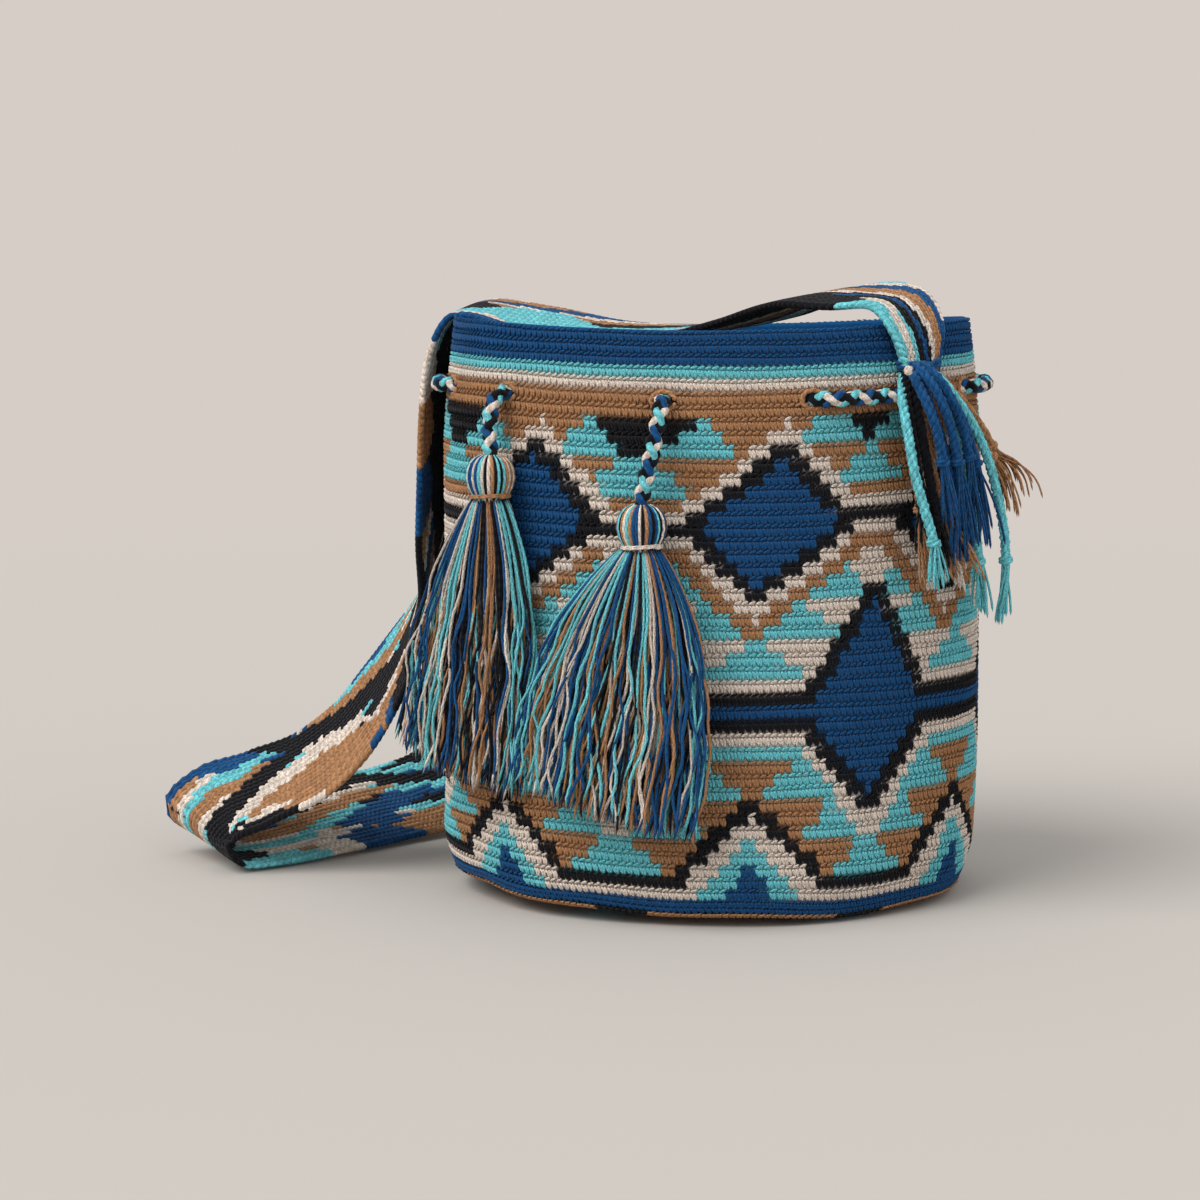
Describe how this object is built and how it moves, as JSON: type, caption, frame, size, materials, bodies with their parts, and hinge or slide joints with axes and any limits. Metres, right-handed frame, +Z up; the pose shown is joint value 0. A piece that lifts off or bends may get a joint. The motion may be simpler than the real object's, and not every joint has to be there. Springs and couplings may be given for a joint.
{
  "type": "crocheted mochila bag",
  "caption": "Oval crocheted bucket bag with a folded woven shoulder strap and a laced drawstring that ends in two tassels.",
  "frame": {"origin": "centre of the flat underside of the bag's base", "axes": "+Z up through the mouth, -Y towards the front that carries the tassels, +X to the viewer's right"},
  "size_m": [0.4134, 0.3124, 0.2883],
  "materials": {
    "crochet": "matte plied cotton, crocheted",
    "strap_weave": "matte plied cotton, twined band",
    "cord_braid": "matte plied cotton, braided",
    "tassel_yarn": "matte plied cotton yarn",
    "tan_yarn": "matte plied cotton yarn",
    "cream_yarn": "matte plied cotton yarn"
  },
  "bodies": {
    "root": {"bag_body": "crochet", "shoulder_strap": "strap_weave", "drawstring": "cord_braid", "strap_stitch_right": "cream_yarn", "strap_stitch_left": "cream_yarn", "tassel_left": "tassel_yarn", "tassel_right": "tassel_yarn", "tassel_left_binding": "tan_yarn", "tassel_right_binding": "cream_yarn"}
  },
  "joints": []
}
